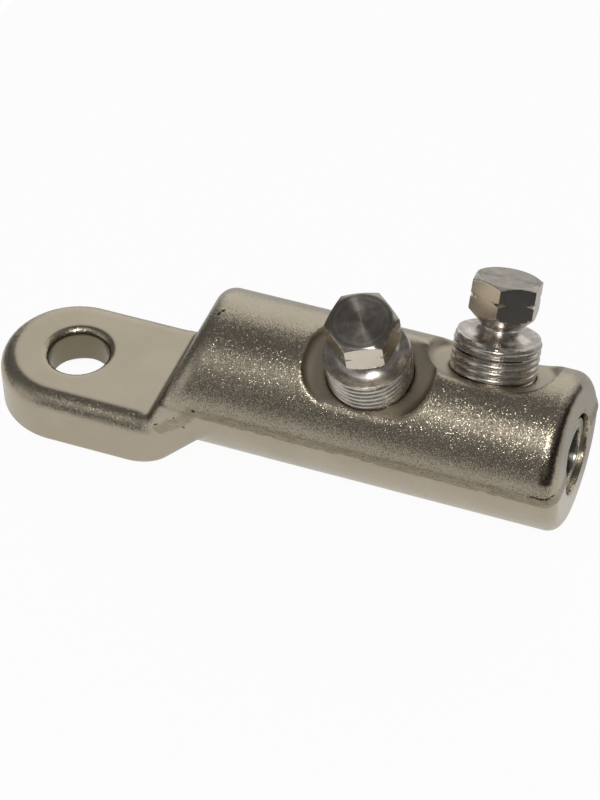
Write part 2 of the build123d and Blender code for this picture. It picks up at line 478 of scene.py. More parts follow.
@dataclass(frozen=True)
class TinnedForging(Finish):
    """Hot-forged aluminium, barrel-tinned: dull and warm, with crystals that glint where a lamp finds them.

    The forging's grain shows through the thin tin, so the skin looks clouded from afar and glitters close
    up. The pressed palm, the cut faces and the bores have no grain and reflect evenly. Lengths in mm.
    """

    light_tone: str = "#B9AF9D"
    dark_tone: str = "#A99F8B"
    # Darker tone for the stud hole and the tapped holes: painted shade of the hollows
    cut_tone: str = "#857C68"
    sheared_tone: str = "#958975"
    # A dark band painted round the mouth's rolled edge
    mouth_band_tone: str = "#4A4338"
    pit_tone: str = "#3A3226"
    # A crystal is about as fine as a pixel of the render shows, which is 0.2 mm
    crystal_size: float = 0.14
    crystal_tilt: float = 0.14
    crystal_roughness: float = 0.27
    far_share: float = 0.45
    far_reach: float = 2.5
    skin_grain: float = 1.1
    skin_depth: float = 0.05
    skin_strength: float = 0.2
    skin_roughness: float = 0.26
    faced_roughness: float = 0.42
    cloud_size: float = 9.0
    streak_width: float = 0.6
    streak_length: float = 2.4
    pit_grain: float = 0.5
    pit_raggedness: float = 1.6
    pit_fade: tuple[float, float] = (1.9, 1.2)
    pits: tuple[Pit, ...] = SKIN_PITS + scored_line(CORNER_CRACK, steps=5, radius=0.27)

    def material(self) -> bpy.types.Material:
        """Make the material: clouded tone, painted shade in the holes, a dark band round the mouth, crystal
        facets, soft forging skin, sheared flash and pits.
        """
        made, tree = self.empty("barrel_tinned_forged_aluminium")
        place = add_node(tree, "ShaderNodeTexCoord").outputs["Object"]
        cloud = add_node(
            tree,
            "ShaderNodeTexNoise",
            values={"Scale": 1.0 / (self.cloud_size * MILLIMETRE), "Detail": 4.0, "Roughness": 0.55},
            links={"Vector": place},
        )
        tone = add_node(
            tree,
            "ShaderNodeMix",
            {"data_type": "RGBA"},
            {6: linear_colour(self.dark_tone), 7: linear_colour(self.light_tone)},
            {0: cloud.outputs["Fac"]},
        ).outputs[2]
        marks = {
            name: add_node(tree, "ShaderNodeAttribute", {"attribute_name": name}).outputs["Fac"]
            for name in ("cut", "sheared", "mouth_band", "smooth", "faced")
        }
        pitted = self._pitting(tree, place)
        layers = (
            # Painted shade darkens the holes
            (marks["cut"], self.cut_tone),
            (self._streaks(tree, place, marks["sheared"]), self.sheared_tone),
            (marks["mouth_band"], self.mouth_band_tone),
            (pitted, self.pit_tone),
        )
        for share, colour in layers:
            tone = add_node(
                tree,
                "ShaderNodeMix",
                {"data_type": "RGBA"},
                {7: linear_colour(colour)},
                {0: share, 6: tone},
            ).outputs[2]
        leaned, further = self._crystals(tree, place)
        plain = add_node(tree, "ShaderNodeNewGeometry").outputs["Normal"]
        facing = add_node(
            tree,
            "ShaderNodeMix",
            {"data_type": "VECTOR"},
            links={0: marks["smooth"], 4: leaned, 5: plain},
        )
        skin = add_node(
            tree,
            "ShaderNodeTexNoise",
            values={"Scale": 1.0 / (self.skin_grain * MILLIMETRE), "Detail": 3.0, "Roughness": 0.6},
            links={"Vector": place},
        )
        height = add_node(
            tree, "ShaderNodeMath", {"operation": "SUBTRACT"}, links={0: skin.outputs["Fac"], 1: pitted}
        )
        bump = add_node(
            tree,
            "ShaderNodeBump",
            values={"Strength": self.skin_strength, "Distance": self.skin_depth * MILLIMETRE},
            links={"Height": height.outputs["Value"], "Normal": facing.outputs[1]},
        )
        grained = add_node(
            tree,
            "ShaderNodeMapRange",
            values={"To Min": self.skin_roughness, "To Max": self.crystal_roughness},
            links={"Value": further},
        )
        rough = add_node(
            tree,
            "ShaderNodeMix",
            {"data_type": "FLOAT"},
            {3: self.faced_roughness},
            {0: marks["faced"], 2: grained.outputs["Result"]},
        )
        shader = add_node(
            tree,
            "ShaderNodeBsdfPrincipled",
            values={"Metallic": 1.0},
            links={"Base Color": tone, "Roughness": rough.outputs[0], "Normal": bump.outputs["Normal"]},
        )
        add_node(tree, "ShaderNodeOutputMaterial", links={"Surface": shader.outputs["BSDF"]})
        return made

    def _crystals(
        self, tree: bpy.types.NodeTree, place: bpy.types.NodeSocket
    ) -> tuple[bpy.types.NodeSocket, bpy.types.NodeSocket]:
        """Tilt the surface in each of many small cells, as crystals lie, and some of them further.

        Args:
            tree: Node tree to add to.
            place: Coordinates in metres.

        Returns:
            A socket with the tilted normal and one that is 1 on the cells that lean further.
        """
        grain = add_node(
            tree,
            "ShaderNodeTexVoronoi",
            {"feature": "F1"},
            {"Scale": 1.0 / (self.crystal_size * MILLIMETRE), "Randomness": 1.0},
            {"Vector": place},
        ).outputs["Color"]
        centred = add_node(
            tree, "ShaderNodeVectorMath", {"operation": "SUBTRACT"}, {1: (0.5, 0.5, 0.5)}, {0: grain}
        )
        chance = add_node(tree, "ShaderNodeTexWhiteNoise", {"noise_dimensions": "3D"}, links={0: grain})
        further = add_node(
            tree,
            "ShaderNodeMath",
            {"operation": "GREATER_THAN"},
            {1: 1.0 - self.far_share},
            {0: chance.outputs["Value"]},
        ).outputs["Value"]
        reach = add_node(
            tree,
            "ShaderNodeMath",
            {"operation": "MULTIPLY_ADD"},
            {1: self.far_reach * self.crystal_tilt, 2: self.crystal_tilt},
            {0: further},
        )
        lean = add_node(
            tree,
            "ShaderNodeVectorMath",
            {"operation": "SCALE"},
            links={0: centred.outputs["Vector"], "Scale": reach.outputs["Value"]},
        )
        plain = add_node(tree, "ShaderNodeNewGeometry").outputs["Normal"]
        leaned = add_node(
            tree, "ShaderNodeVectorMath", {"operation": "ADD"}, links={0: lean.outputs["Vector"], 1: plain}
        )
        normal = add_node(
            tree, "ShaderNodeVectorMath", {"operation": "NORMALIZE"}, links={0: leaned.outputs["Vector"]}
        )
        return normal.outputs["Vector"], further

    def _streaks(
        self, tree: bpy.types.NodeTree, place: bpy.types.NodeSocket, sheared: bpy.types.NodeSocket
    ) -> bpy.types.NodeSocket:
        """Short dark streaks across the sheared flash, drawn out along the barrel.

        Args:
            tree: Node tree to add to.
            place: Coordinates in metres.
            sheared: Socket that is 1 on the sheared flash.

        Returns:
            A socket with the share of sheared tone.
        """
        stretched = add_node(
            tree,
            "ShaderNodeVectorMath",
            {"operation": "MULTIPLY"},
            {1: (self.streak_width / self.streak_length, 1.0, 1.0)},
            {0: place},
        )
        lines = add_node(
            tree,
            "ShaderNodeTexNoise",
            values={"Scale": 1.0 / (self.streak_width * MILLIMETRE), "Detail": 3.0, "Roughness": 0.7},
            links={"Vector": stretched.outputs["Vector"]},
        )
        streaks = add_node(
            tree,
            "ShaderNodeMapRange",
            values={"From Min": 0.38, "From Max": 0.6, "To Min": 0.45, "To Max": 1.0},
            links={"Value": lines.outputs["Fac"]},
        )
        return add_node(
            tree,
            "ShaderNodeMath",
            {"operation": "MULTIPLY"},
            links={0: sheared, 1: streaks.outputs["Result"]},
        ).outputs["Value"]

    def _pitting(self, tree: bpy.types.NodeTree, place: bpy.types.NodeSocket) -> bpy.types.NodeSocket:
        """Small dark pits with ragged edges, at their places on the forging.

        Args:
            tree: Node tree to add to.
            place: Coordinates in metres.

        Returns:
            A socket with the share of pit, 1 in a pit's middle.
        """
        rough = add_node(
            tree,
            "ShaderNodeTexNoise",
            values={"Scale": 1.0 / (self.pit_grain * MILLIMETRE), "Detail": 2.0},
            links={"Vector": place},
        )
        edge, middle = self.pit_fade
        spots = []
        for x, y, z, radius in self.pits:
            size = radius * MILLIMETRE
            away = add_node(
                tree,
                "ShaderNodeVectorMath",
                {"operation": "DISTANCE"},
                {1: (x * MILLIMETRE, y * MILLIMETRE, z * MILLIMETRE)},
                {0: place},
            )
            ragged = add_node(
                tree,
                "ShaderNodeMath",
                {"operation": "MULTIPLY_ADD"},
                {1: size * self.pit_raggedness},
                {0: rough.outputs["Fac"], 2: away.outputs["Value"]},
            )
            spot = add_node(
                tree,
                "ShaderNodeMapRange",
                values={"From Min": size * edge, "From Max": size * middle},
                links={"Value": ragged.outputs["Value"]},
            )
            spots.append(spot.outputs["Result"])
        share = spots[0]
        for spot in spots[1:]:
            share = add_node(
                tree, "ShaderNodeMath", {"operation": "MAXIMUM"}, links={0: share, 1: spot}
            ).outputs["Value"]
        return share


@dataclass(frozen=True)
class TurnedAluminium(Finish):
    """Free-cutting aluminium bar, turned and left bare: bright, with rings that draw highlights across them.

    A real feed of 0.1 to 0.2 mm is finer than the render shows, so the rings are drawn 0.3 to 0.4 mm apart.
    Lengths in mm.
    """

    name: str = "turned_aluminium_bar"
    light_tone: str = "#DDD6CD"
    dark_tone: str = "#B2AAA0"
    ring_spacing: float = 0.42
    ring_depth: float = 0.02
    ring_strength: float = 0.25
    smear_size: float = 1.8
    roughness: float = 0.26
    roughness_spread: float = 0.05
    anisotropy: float = 0.5
    across_rings: float = 0.25

    def material(self) -> bpy.types.Material:
        """Make the material: feed rings by radius and height, smears and a highlight drawn across them."""
        made, tree = self.empty(self.name)
        place = add_node(tree, "ShaderNodeAttribute", {"attribute_name": "bar_place"}).outputs["Vector"]
        parts = add_node(tree, "ShaderNodeSeparateXYZ", links={0: place})
        level = add_node(tree, "ShaderNodeCombineXYZ", links={0: parts.outputs["X"], 1: parts.outputs["Y"]})
        radius = add_node(tree, "ShaderNodeVectorMath", {"operation": "LENGTH"}, links={0: level.outputs[0]})
        across = add_node(
            tree, "ShaderNodeCombineXYZ", links={0: radius.outputs["Value"], 2: parts.outputs["Z"]}
        )
        rings = add_node(
            tree,
            "ShaderNodeTexNoise",
            values={"Scale": 1.0 / (self.ring_spacing * MILLIMETRE), "Detail": 2.0, "Roughness": 0.6},
            links={"Vector": across.outputs["Vector"]},
        )
        smears = add_node(
            tree,
            "ShaderNodeTexNoise",
            values={"Scale": 1.0 / (self.smear_size * MILLIMETRE), "Detail": 4.0, "Roughness": 0.6},
            links={"Vector": place},
        )
        both = add_node(
            tree,
            "ShaderNodeMath",
            {"operation": "MULTIPLY"},
            links={0: rings.outputs["Fac"], 1: smears.outputs["Fac"]},
        )
        shade = add_node(
            tree,
            "ShaderNodeMapRange",
            values={"From Min": 0.15, "From Max": 0.35},
            links={"Value": both.outputs["Value"]},
        )
        tone = add_node(
            tree,
            "ShaderNodeMix",
            {"data_type": "RGBA"},
            {6: linear_colour(self.dark_tone), 7: linear_colour(self.light_tone)},
            {0: shade.outputs["Result"]},
        )
        rough = add_node(
            tree,
            "ShaderNodeMapRange",
            values={
                "From Min": 0.35,
                "From Max": 0.65,
                "To Min": self.roughness - self.roughness_spread,
                "To Max": self.roughness + self.roughness_spread,
            },
            links={"Value": smears.outputs["Fac"]},
        )
        bump = add_node(
            tree,
            "ShaderNodeBump",
            values={"Strength": self.ring_strength, "Distance": self.ring_depth * MILLIMETRE},
            links={"Height": rings.outputs["Fac"]},
        )
        way = add_node(tree, "ShaderNodeAttribute", {"attribute_name": "bar_way"})
        shader = add_node(
            tree,
            "ShaderNodeBsdfPrincipled",
            values={
                "Metallic": 1.0,
                "Anisotropic": self.anisotropy,
                "Anisotropic Rotation": self.across_rings,
            },
            links={
                "Base Color": tone.outputs[2],
                "Roughness": rough.outputs["Result"],
                "Normal": bump.outputs["Normal"],
                "Tangent": way.outputs["Vector"],
            },
        )
        add_node(tree, "ShaderNodeOutputMaterial", links={"Surface": shader.outputs["BSDF"]})
        return made


@dataclass(frozen=True)
class DrawnAluminium(Finish):
    """Hexagon bar as it was drawn: satin flats with faint die lines that run along the bar.

    Real die lines are finer than a pixel of the render, so they are drawn 0.25 mm wide. Lengths in mm.
    """

    light_tone: str = "#DED4C5"
    dark_tone: str = "#CCC2B2"
    # Darker tone for one flat: a painted dark reflection
    dark_flat_tone: str = "#8B8780"
    line_width: float = 0.25
    line_length: float = 4.0
    line_depth: float = 0.01
    line_strength: float = 0.2
    roughness: float = 0.22
    roughness_spread: float = 0.05
    anisotropy: float = 0.3

    def material(self) -> bpy.types.Material:
        """Make the material: die lines in tone and roughness, with a highlight drawn across them."""
        made, tree = self.empty("drawn_aluminium_flats")
        place = add_node(tree, "ShaderNodeAttribute", {"attribute_name": "bar_place"}).outputs["Vector"]
        stretched = add_node(
            tree,
            "ShaderNodeVectorMath",
            {"operation": "MULTIPLY"},
            {1: (1.0, 1.0, self.line_width / self.line_length)},
            {0: place},
        )
        lines = add_node(
            tree,
            "ShaderNodeTexNoise",
            values={"Scale": 1.0 / (self.line_width * MILLIMETRE), "Detail": 3.0, "Roughness": 0.6},
            links={"Vector": stretched.outputs["Vector"]},
        )
        tone = add_node(
            tree,
            "ShaderNodeMix",
            {"data_type": "RGBA"},
            {6: linear_colour(self.dark_tone), 7: linear_colour(self.light_tone)},
            {0: lines.outputs["Fac"]},
        )
        # One flat is darkened: a painted dark reflection
        dark_flat = add_node(tree, "ShaderNodeAttribute", {"attribute_name": "dark_flat"})
        with_dark_flat = add_node(
            tree,
            "ShaderNodeMix",
            {"data_type": "RGBA"},
            {7: linear_colour(self.dark_flat_tone)},
            {0: dark_flat.outputs["Fac"], 6: tone.outputs[2]},
        )
        rough = add_node(
            tree,
            "ShaderNodeMapRange",
            values={
                "To Min": self.roughness - self.roughness_spread,
                "To Max": self.roughness + self.roughness_spread,
            },
            links={"Value": lines.outputs["Fac"]},
        )
        bump = add_node(
            tree,
            "ShaderNodeBump",
            values={"Strength": self.line_strength, "Distance": self.line_depth * MILLIMETRE},
            links={"Height": lines.outputs["Fac"]},
        )
        way = add_node(tree, "ShaderNodeAttribute", {"attribute_name": "bar_way"})
        shader = add_node(
            tree,
            "ShaderNodeBsdfPrincipled",
            values={"Metallic": 1.0, "Anisotropic": self.anisotropy},
            links={
                "Base Color": with_dark_flat.outputs[2],
                "Roughness": rough.outputs["Result"],
                "Normal": bump.outputs["Normal"],
                "Tangent": way.outputs["Vector"],
            },
        )
        add_node(tree, "ShaderNodeOutputMaterial", links={"Surface": shader.outputs["BSDF"]})
        return made


@dataclass(frozen=True)
class Fade:
    """How the floor's glow in reflections falls off along Y, from full at near to a level at far.

    Places are in metres.
    """

    near: float
    far: float
    level: float


@dataclass(frozen=True)
class StudioFloor(Finish):
    """Matt white studio floor: pale to the camera and in reflections, with a faint contact shadow."""

    tone: str = "#FFFFFF"
    camera_glow: float = 0.95
    mirror_glow: float = 0.7
    # Mirrored in the lug's metal, the floor is pale under the near side and darker in front of it; behind it,
    # a painted shadow of the lug darkens it
    fades: tuple[Fade, ...] = (
        Fade(near=-0.03, far=-0.06, level=0.35),
        # Behind the lug: painted shadow
        Fade(near=0.004, far=0.02, level=0.1),
    )

    def material(self) -> bpy.types.Material:
        """Make the material: white to camera, glossy and transmission rays, diffuse to the rest."""
        made, tree = self.empty("matt_white_studio_floor")
        diffuse = add_node(tree, "ShaderNodeBsdfDiffuse", values={"Color": linear_colour(self.tone)})
        glow = add_node(
            tree, "ShaderNodeEmission", values={"Color": linear_colour(self.tone), "Strength": 1.0}
        )
        path = add_node(tree, "ShaderNodeLightPath")
        place = add_node(tree, "ShaderNodeTexCoord").outputs["Object"]
        parts = add_node(tree, "ShaderNodeSeparateXYZ", links={0: place})
        mirrored = add_node(
            tree,
            "ShaderNodeMath",
            {"operation": "MAXIMUM"},
            links={0: path.outputs["Is Glossy Ray"], 1: path.outputs["Is Transmission Ray"]},
        )
        rays = (
            (mirrored.outputs["Value"], self.mirror_glow),
            (path.outputs["Is Camera Ray"], self.camera_glow),
        )
        share, seen = (
            add_node(tree, "ShaderNodeMath", {"operation": "MULTIPLY"}, {1: level}, {0: ray}).outputs["Value"]
            for ray, level in rays
        )
        for fade in self.fades:
            falloff = add_node(
                tree,
                "ShaderNodeMapRange",
                {"interpolation_type": "SMOOTHSTEP"},
                {"From Min": fade.near, "From Max": fade.far, "To Min": 1.0, "To Max": fade.level},
                {"Value": parts.outputs["Y"]},
            )
            share = add_node(
                tree,
                "ShaderNodeMath",
                {"operation": "MULTIPLY"},
                links={0: share, 1: falloff.outputs["Result"]},
            ).outputs["Value"]
        shown = add_node(tree, "ShaderNodeMath", {"operation": "MAXIMUM"}, links={0: seen, 1: share})
        mixed = add_node(
            tree,
            "ShaderNodeMixShader",
            links={0: shown.outputs["Value"], 1: diffuse.outputs["BSDF"], 2: glow.outputs["Emission"]},
        )
        add_node(tree, "ShaderNodeOutputMaterial", links={"Surface": mixed.outputs["Shader"]})
        return made


@dataclass(frozen=True)
class Panel:
    """A soft-edged area of the room's light, in degrees from the lug.

    Azimuth is 0 in front of the lug and 90 past its mouth.
    """

    azimuth: float
    azimuth_half: float
    elevation: float
    elevation_half: float
    edge: float
    level: float


@dataclass(frozen=True)
class Lamp:
    """A round lamp: where it hangs in degrees, as a panel's angles, its width in metres and its power."""

    name: str
    azimuth: float
    elevation: float
    size: float
    watts: float


@dataclass(frozen=True)
class BoltPlace:
    """Where a shear bolt sits: reach along the lug, lean away from upright and turn of its hexagon."""

    node: str
    body: str
    reach: float
    lean: float
    turn: float

    def matrix(self, axis_height: float) -> Matrix:
        """Placement in millimetres of a bolt that is drawn along Z from the barrel's axis.

        Args:
            axis_height: Height of the barrel's axis.

        Returns:
            The placement.
        """
        turned = Matrix.Rotation(math.radians(self.turn), 4, "Z")
        leaned = Matrix.Rotation(math.radians(-self.lean), 4, "X")
        return Matrix.Translation((self.reach, 0.0, axis_height)) @ leaned @ turned


@dataclass
class ForgedBody:
    """The forging: palm, neck and barrel in one piece, drilled, spot-faced and tapped. Sizes in mm."""

    bolts: tuple[BoltPlace, ...]
    palm_half_width: float = 16.0
    palm_top: float = 6.3
    palm_bottom: float = -6.299
    tip_centre: float = -1.0
    top_edge_radius: float = 3.9
    crown_radius: float = 4.5
    crown_rise: float = 6.0
    bottom_edge_radius: float = 1.2
    foot_fillet: float = 0.5
    shoulder_reach: float = 21.8
    shoulder_run: float = 10.2
    shoulder_overlap: float = 2.0
    heel_reach: float = 22.5
    heel_slope: float = 46.0
    heel_radius: float = 13.0
    neck_fillet: float = 1.0
    barrel_radius: float = 16.5
    axis_height: float = 12.9
    mouth_reach: float = 110.4
    mouth_draft: float = 6.0
    mouth_edge_radius: float = 3.0
    bore_radius: float = 8.4
    bore_end: float = 50.4
    bore_edge_radius: float = 0.35
    drill_half_angle: float = 59.0
    hole_radius: float = 6.5
    hole_rim_radius: float = 1.6
    hole_foot_radius: float = 0.3
    countersink_depth: float = 4.2
    flash_half_width: float = 1.4
    flash_rise: float = 0.3
    flash_edge_radius: float = 0.12
    flash_ripple: float = 0.12
    flash_ripple_length: float = 3.0
    flash_growth_run: float = 8.0
    flash_growth: tuple[float, float] = (0.35, 0.65)
    flash_fall: float = 0.9
    flash_path: tuple[tuple[float, float], ...] = ((25.2, 6.2), (30.3, 10.4), (33.0, 14.3), (130.0, 14.3))
    spot_face_radius: float = 13.5
    spot_face_height: float = 13.3
    spot_face_end_radius: float = 0.5
    spot_face_side_radius: float = 0.8
    spot_face_fillet: float = 2.2
    tapped_radius: float = 8.96
    tapped_floor: float = 3.5
    tapped_rim_radius: float = 0.25
    # Where the dark band round the mouth's edge is painted
    band_radius: float = 16.4
    band_narrowing: float = 0.0165
    band_half_width: float = 0.5
    band_depth: float = 4.0
    band_ripple: float = 0.2
    band_ripple_length: float = 2.5
    band_span: tuple[float, float] = (19.0, 112.0)
    skin_ripple: float = 0.03
    skin_ripple_length: float = 14.0
    skin_reach: float = 0.2
    flash_least: float = 0.05
    cut_fade: tuple[float, float] = (0.1, 0.2)
    smooth_fade: tuple[float, float] = (0.02, 0.12)
    room_low: Place = (-18.0, -17.6, -7.2)
    room_high: Place = (112.2, 17.6, 30.4)
    mesher: SkinMesher = SkinMesher(cell=0.56)
    finish: Finish = field(default_factory=TinnedForging)

    def underside(self, x: Array, z: Array) -> Array:
        """Distance below which there is no forging: flat palm, then the heel's ramp.

        Args:
            x: Reaches.
            z: Heights.

        Returns:
            Distance, negative above the underside.
        """
        slope = math.radians(self.heel_slope)
        ramp = (x - self.heel_reach) * math.sin(slope) - (z - self.palm_bottom) * math.cos(slope)
        return rolled_corner(self.palm_bottom - z, ramp, self.heel_radius, math.cos(slope))

    def top_profile(self, x: Array, z: Array) -> Array:
        """Distance above which there is no forging: palm's top, then the leaning shoulder.

        Args:
            x: Reaches.
            z: Heights.

        Returns:
            Distance, negative under the palm's top or behind the shoulder.
        """
        rise = self.axis_height + self.barrel_radius - self.palm_top
        length = math.hypot(self.shoulder_run, rise)
        shoulder = ((z - self.palm_top) * self.shoulder_run - (x - self.shoulder_reach) * rise) / length
        return filled_corner(z - self.palm_top, shoulder, self.foot_fillet)

    def mouth(self, x: Array, z: Array) -> Array:
        """Distance past the mouth's face, upright below the parting plane and drafted above it.

        Args:
            x: Reaches.
            z: Heights.

        Returns:
            Distance, negative behind the face.
        """
        draft = math.radians(self.mouth_draft)
        sloped = (x - self.mouth_reach) * math.cos(draft) + (z - self.axis_height) * math.sin(draft)
        return np.maximum(sloped, x - self.mouth_reach)

    def outer_skin(self, points: Array) -> Array:
        """Distance to the raw forging before its top profile, flash and holes.

        Args:
            points: Positions in millimetres.

        Returns:
            Distance, negative inside.
        """
        x, y, z = points.T
        sides = np.hypot(np.minimum(x - self.tip_centre, 0.0), y) - self.palm_half_width
        keel = np.maximum(sides, z - self.axis_height)
        keel = rolled_corner(keel, self.underside(x, z), self.bottom_edge_radius)
        around = np.hypot(y, z - self.axis_height) - self.barrel_radius
        barrel = rolled_corner(around, self.mouth(x, z), self.mouth_edge_radius)
        barrel = np.maximum(barrel, self.shoulder_reach - self.shoulder_overlap - x)
        barrel = barrel + self.skin_ripple * (1.0 + ripple(points, self.skin_ripple_length, seed=3))
        return filled_corner(keel, barrel, self.neck_fillet)

    def flash(self, points: Array, skin: Array) -> Array:
        """Distance to the trimmed flash, a raised ribbon along the parting plane.

        Args:
            points: Positions in millimetres.
            skin: Distance to the raw forging.

        Returns:
            Distance, negative inside.
        """
        x, _, z = points.T
        nearest = np.full(len(x), FAR)
        for (x0, z0), (x1, z1) in zip(self.flash_path, self.flash_path[1:]):
            run, rise = x1 - x0, z1 - z0
            share = np.clip(((x - x0) * run + (z - z0) * rise) / (run * run + rise * rise), 0.0, 1.0)
            nearest = np.minimum(nearest, np.hypot(x - x0 - share * run, z - z0 - share * rise))
        uneven = 1.0 + ripple(points, self.flash_ripple_length, seed=8)
        ragged = self.flash_half_width - self.flash_ripple * uneven
        over = np.clip((z - self.axis_height) / (2.0 * self.flash_half_width), 0.0, 1.0)
        along = np.clip((x - self.flash_path[1][0]) / self.flash_growth_run, 0.0, 1.0)
        start, growth = self.flash_growth
        rise = self.flash_rise * (1.0 - self.flash_fall * over) * (start + growth * along)
        return rolled_corner(skin - rise, nearest - ragged, self.flash_edge_radius)

    def stud_hole(self, points: Array) -> Array:
        """Distance to the stud hole with its countersink below.

        Args:
            points: Positions in millimetres.

        Returns:
            Distance, negative in the hole.
        """
        x, y, z = points.T
        around = np.hypot(x, y) - self.hole_radius
        sink = (around + z - self.palm_bottom - self.countersink_depth) / math.sqrt(2.0)
        return np.minimum(around, sink)

    def cable_bore(self, points: Array) -> Array:
        """Distance to the cable bore with its drill point.

        Args:
            points: Positions in millimetres.

        Returns:
            Distance, negative in the bore.
        """
        x, y, z = points.T
        around = np.hypot(y, z - self.axis_height) - self.bore_radius
        half = math.radians(self.drill_half_angle)
        point = around * math.cos(half) - (x - self.bore_end) * math.sin(half)
        return np.maximum(around, point)

    def bolt_frame(self, points: Array, bolt: BoltPlace) -> tuple[Array, Array]:
        """Distance from a bolt's axis and height along it.

        Args:
            points: Positions in millimetres.
            bolt: Which bolt.

        Returns:
            Radius and height for each point.
        """
        matrix = np.array(bolt.matrix(self.axis_height).inverted())
        local = points @ matrix[:3, :3].T + matrix[:3, 3]
        return np.hypot(local[:, 0], local[:, 1]), local[:, 2]

    def cuts(self, points: Array) -> tuple[Array, Array]:
        """Distances to the spot faces and to the tapped holes.

        Args:
            points: Positions in millimetres.

        Returns:
            Distance to the nearest spot-face pocket and to the nearest tapped hole.
        """
        pockets = np.full(len(points), FAR)
        tapped = np.full(len(points), FAR)
        for bolt in self.bolts:
            radius, height = self.bolt_frame(points, bolt)
            wall = radius - self.spot_face_radius
            pocket = rolled_corner(wall, self.spot_face_height - height, self.spot_face_fillet)
            pockets = np.minimum(pockets, pocket)
            tapped = np.minimum(tapped, np.maximum(radius - self.tapped_radius, self.tapped_floor - height))
        return pockets, tapped

    def distance(self, points: Array) -> Array:
        """Distance to the finished body.

        Args:
            points: Positions in millimetres.

        Returns:
            Distance, negative inside.
        """
        x, _, z = points.T
        skin = self.outer_skin(points)
        rise = self.axis_height + self.barrel_radius - self.palm_top
        lean = self.shoulder_run / math.hypot(self.shoulder_run, rise)
        crown = np.clip((z - self.axis_height) / self.barrel_radius, 0.0, 1.0) * lean
        up_neck = np.clip((z - self.palm_top) / self.crown_rise, 0.0, 1.0)
        roll = self.top_edge_radius + (self.crown_radius - self.top_edge_radius) * up_neck
        body = rolled_corner(skin, self.top_profile(x, z), roll, crown)
        body = np.minimum(body, self.flash(points, skin))
        rim = np.where(z > 0.0, self.hole_rim_radius, self.hole_foot_radius)
        body = rolled_corner(body, -self.stud_hole(points), rim)
        body = rolled_corner(body, -self.cable_bore(points), self.bore_edge_radius)
        pockets, tapped = self.cuts(points)
        along = np.min([np.abs(x - bolt.reach) for bolt in self.bolts], axis=0) / self.spot_face_radius
        roll = self.spot_face_side_radius + np.clip(along, 0.0, 1.0) ** 2 * (
            self.spot_face_end_radius - self.spot_face_side_radius
        )
        body = rolled_corner(body, -pockets, roll)
        return rolled_corner(body, -tapped, self.tapped_rim_radius)

    def mouth_band_share(self, points: Array) -> Array:
        """Share of the dark band painted round the mouth's edge, from the crown to the flash.

        Args:
            points: Positions in millimetres.

        Returns:
            Values up to 1 in the band's middle.
        """
        x, y, z = points.T
        around = np.degrees(np.arctan2(z - self.axis_height, -y))
        waver = self.band_ripple * ripple(points, self.band_ripple_length, seed=5)
        middle = self.band_radius - self.band_narrowing * around + waver
        away = np.abs(np.hypot(y, z - self.axis_height) - middle)
        # Whole as far as half of its half width, and gone at one and a half
        share = np.clip(1.5 - away / self.band_half_width, 0.0, 1.0)
        low, high = self.band_span
        banded = (around > low) & (around < high) & (x > self.mouth_reach - self.band_depth)
        return np.where(banded, share, 0.0)

    def build(self) -> bpy.types.Object:
        """Mesh the body, mark its sheared, smooth and faced surfaces, the painted shade in its holes and its
        dark band round the mouth, and dress it.

        Returns:
            The finished piece.
        """
        mesh = self.mesher.mesh("forged_lug_body", self.distance, self.room_low, self.room_high)
        points = mesh_points(mesh)
        x, _, z = points.T
        skin = self.outer_skin(points)
        pockets, tapped = self.cuts(points)
        from_faces = np.abs(pockets)
        machined = np.minimum(np.abs(tapped), np.abs(self.stud_hole(points)))
        on_skin = np.abs(skin) < self.skin_reach
        # The stud hole and the tapped holes get a darker tone: painted shade
        mark_share(mesh, "cut", np.where(on_skin, 0.0, faded(machined, *self.cut_fade)))
        on_flash = (np.abs(self.flash(points, skin)) < self.skin_reach) & (skin > self.flash_least)
        mark_share(mesh, "sheared", on_flash.astype(float))
        pressed = np.minimum(np.abs(z - self.palm_top), np.abs(self.mouth(x, z)))
        even = np.min([pressed, machined, np.abs(self.cable_bore(points)), from_faces], axis=0)
        mark_share(mesh, "smooth", faded(even, *self.smooth_fade))
        mark_share(mesh, "faced", faded(from_faces, *self.smooth_fade))
        # The dark band painted round the mouth's edge
        mark_share(mesh, "mouth_band", self.mouth_band_share(points))
        piece = bpy.data.objects.new("forged_lug_body", mesh)
        bpy.context.scene.collection.objects.link(piece)
        mesh.materials.append(self.finish.material())
        return piece


